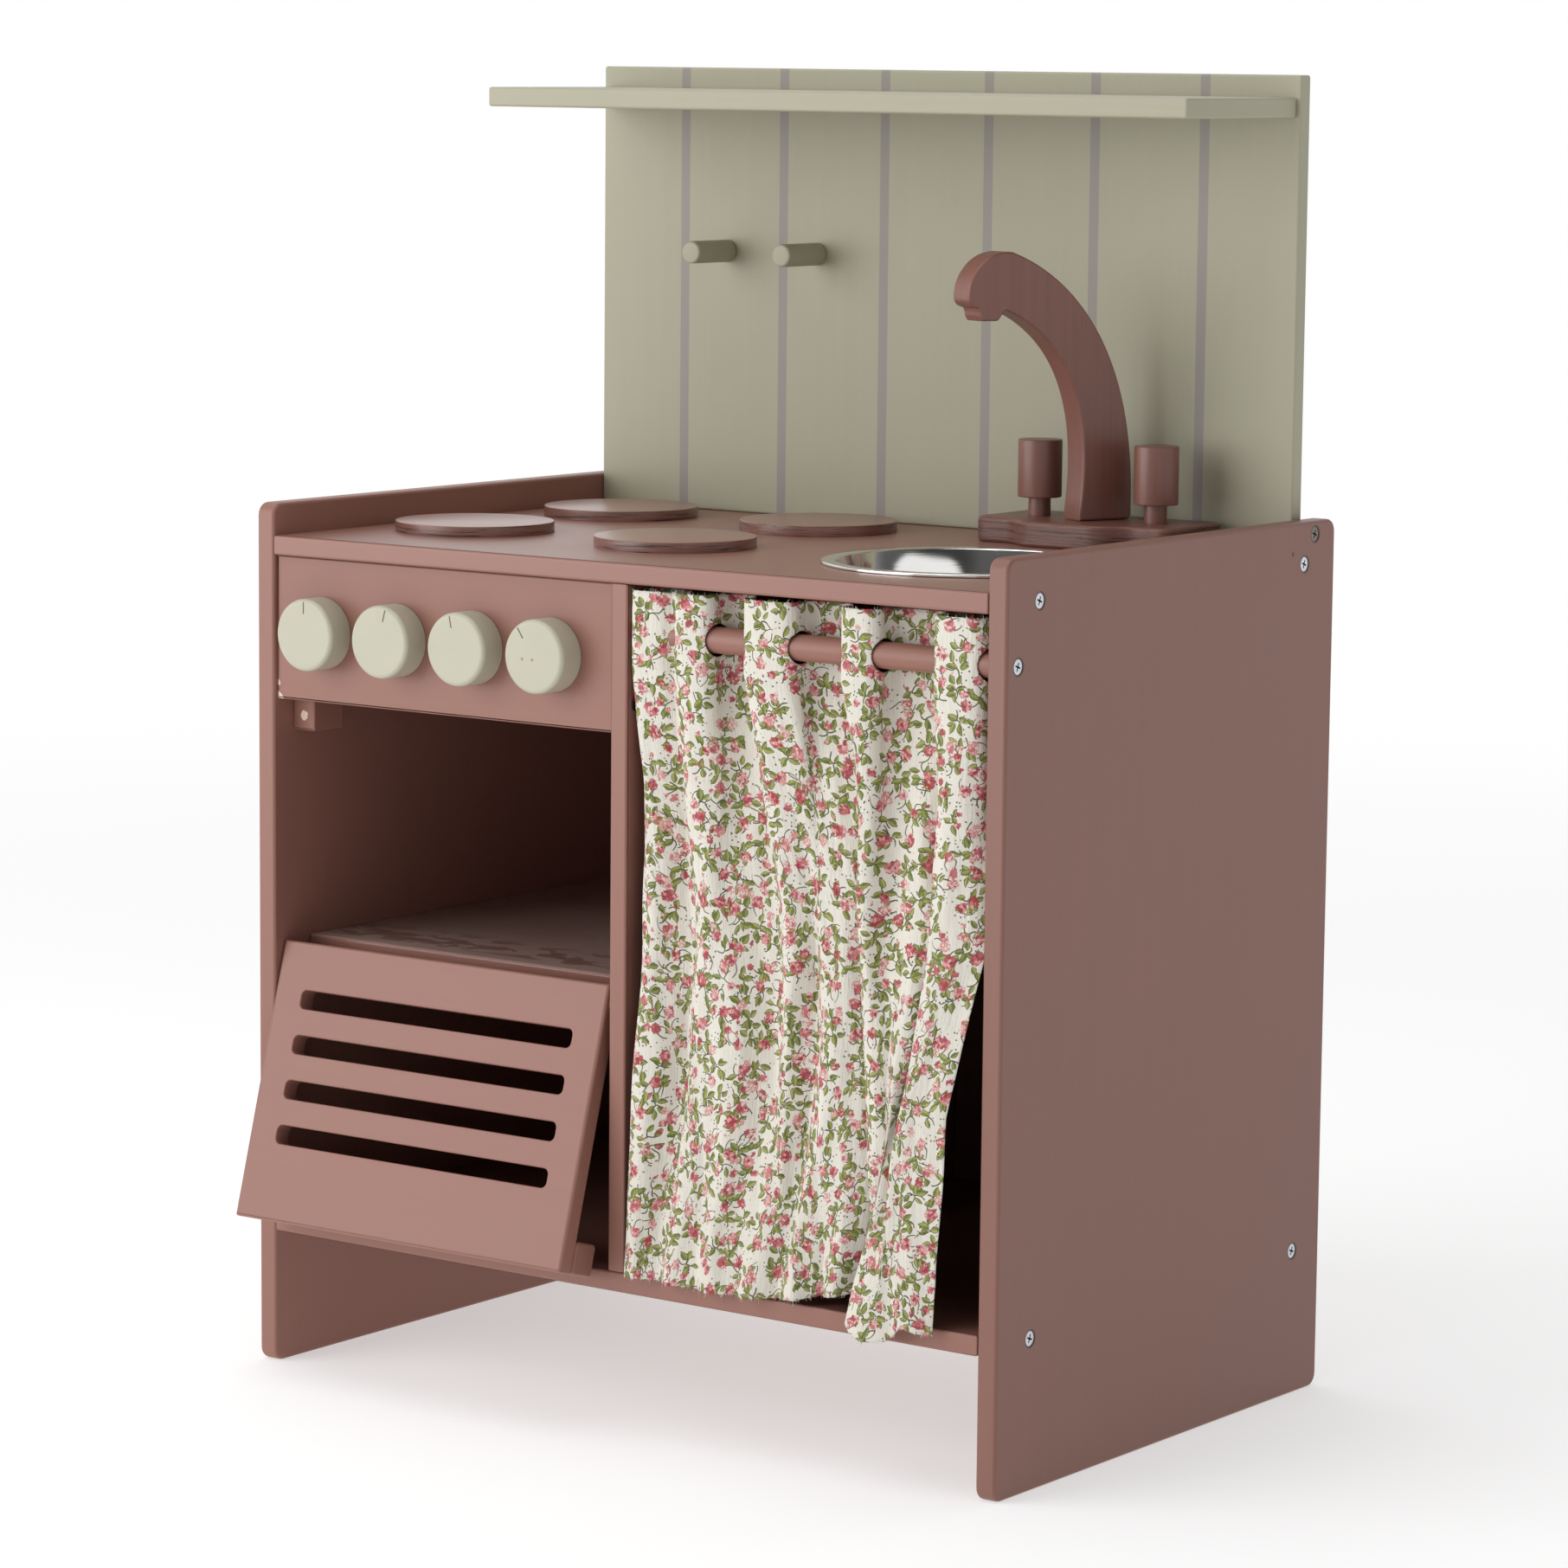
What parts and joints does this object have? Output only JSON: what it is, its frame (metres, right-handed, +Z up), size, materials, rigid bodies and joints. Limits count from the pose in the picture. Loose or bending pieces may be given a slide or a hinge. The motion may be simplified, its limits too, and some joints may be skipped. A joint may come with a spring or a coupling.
{
  "type": "toy kitchen",
  "caption": "Wooden play kitchen with a drop-front oven, turning knobs, a hob, a lift-out metal sink, a swivel tap, a curtained cupboard and a splashback with a shelf and pegs.",
  "frame": {"origin": "on the floor, at the centre of the box that holds the toy with its oven door hanging open", "axes": "+X to the toy's right as seen from the front, +Y to the back, +Z up"},
  "size_m": [0.5, 0.3562, 0.725],
  "materials": {
    "rose_paint": "satin dusty rose paint over board, wood grain showing faintly",
    "sage_paint": "satin sage paint with thin painted stripes",
    "cream_paint": "satin cream paint",
    "bare_wood": "bare beech",
    "stainless_steel": "polished, spun",
    "zinc_screws": "bright zinc plate",
    "printed_cotton": "crinkled ecru cotton printed with small flowers"
  },
  "bodies": {
    "cabinet": {"side_panel_left": "rose_paint", "side_panel_right": "rose_paint", "worktop": "rose_paint", "bottom_board": "rose_paint", "divider": "rose_paint", "oven_shelf": "rose_paint", "lower_back_board": "rose_paint", "back_panel": "sage_paint", "top_shelf": "sage_paint", "peg_left": "sage_paint", "peg_right": "sage_paint", "knob_panel": "rose_paint", "stop_block": "rose_paint", "door_magnet": "zinc_screws", "door_pivots": "bare_wood", "hob_front_left": "rose_paint", "hob_front_right": "rose_paint", "hob_rear_left": "rose_paint", "hob_rear_right": "rose_paint", "tap_base": "rose_paint", "curtain_rod": "rose_paint", "curtain_cloth": "printed_cotton", "screws_left": "zinc_screws", "screws_right": "zinc_screws", "divider_screws": "zinc_screws", "bottom_screws": "zinc_screws", "rear_screws": "zinc_screws", "worktop_screws": "zinc_screws", "back_board_nails": "zinc_screws", "divider_dowels": "bare_wood"},
    "oven_door": {"oven_door": "rose_paint", "door_handle": "rose_paint", "handle_dowels": "bare_wood"},
    "knob_1": {"knob_1": "cream_paint", "knob_spindle_1": "bare_wood"},
    "knob_2": {"knob_2": "cream_paint", "knob_spindle_2": "bare_wood"},
    "knob_3": {"knob_3": "cream_paint", "knob_spindle_3": "bare_wood"},
    "knob_4": {"knob_4": "cream_paint", "knob_spindle_4": "bare_wood"},
    "tap_spout": {"tap_spout": "rose_paint", "spout_pivot": "bare_wood"},
    "tap_handle_left": {"tap_handle_left": "rose_paint", "tap_stem_left": "rose_paint"},
    "tap_handle_right": {"tap_handle_right": "rose_paint", "tap_stem_right": "rose_paint"},
    "sink_bowl": {"sink_bowl": "stainless_steel"},
    "curtain_edge": {"curtain_edge": "printed_cotton"}
  },
  "joints": [
    {"name": "oven_door_hinge", "type": "hinge", "parent": "cabinet", "child": "oven_door", "pos_m": [0, -0.13303, 0.2295], "axis": [-1, 0, 0], "range_deg": [-2.5, 164.2]},
    {"name": "knob_1_turn", "type": "hinge", "parent": "cabinet", "child": "knob_1", "pos_m": [-0.2044, -0.14023, 0.4153], "axis": [0, -1, 0], "continuous": true},
    {"name": "knob_2_turn", "type": "hinge", "parent": "cabinet", "child": "knob_2", "pos_m": [-0.1507, -0.14023, 0.4153], "axis": [0, -1, 0], "continuous": true},
    {"name": "knob_3_turn", "type": "hinge", "parent": "cabinet", "child": "knob_3", "pos_m": [-0.097, -0.14023, 0.4153], "axis": [0, -1, 0], "continuous": true},
    {"name": "knob_4_turn", "type": "hinge", "parent": "cabinet", "child": "knob_4", "pos_m": [-0.0433, -0.14023, 0.4153], "axis": [0, -1, 0], "continuous": true},
    {"name": "spout_swivel", "type": "hinge", "parent": "cabinet", "child": "tap_spout", "pos_m": [0.134, 0.11757, 0.4818], "axis": [0, 0, 1], "range_deg": [-80, 128]},
    {"name": "tap_handle_left_turn", "type": "hinge", "parent": "cabinet", "child": "tap_handle_left", "pos_m": [0.096, 0.11757, 0.4818], "axis": [0, 0, 1], "continuous": true},
    {"name": "tap_handle_right_turn", "type": "hinge", "parent": "cabinet", "child": "tap_handle_right", "pos_m": [0.172, 0.11757, 0.4818], "axis": [0, 0, 1], "continuous": true},
    {"name": "sink_lift", "type": "slide", "parent": "cabinet", "child": "sink_bowl", "axis": [0, 0, 1], "range_m": [0, 0.06]},
    {"name": "curtain_draw", "type": "slide", "parent": "cabinet", "child": "curtain_edge", "axis": [-1, 0, 0], "range_m": [0, 0.12], "deforming": ["curtain_cloth"]}
  ]
}
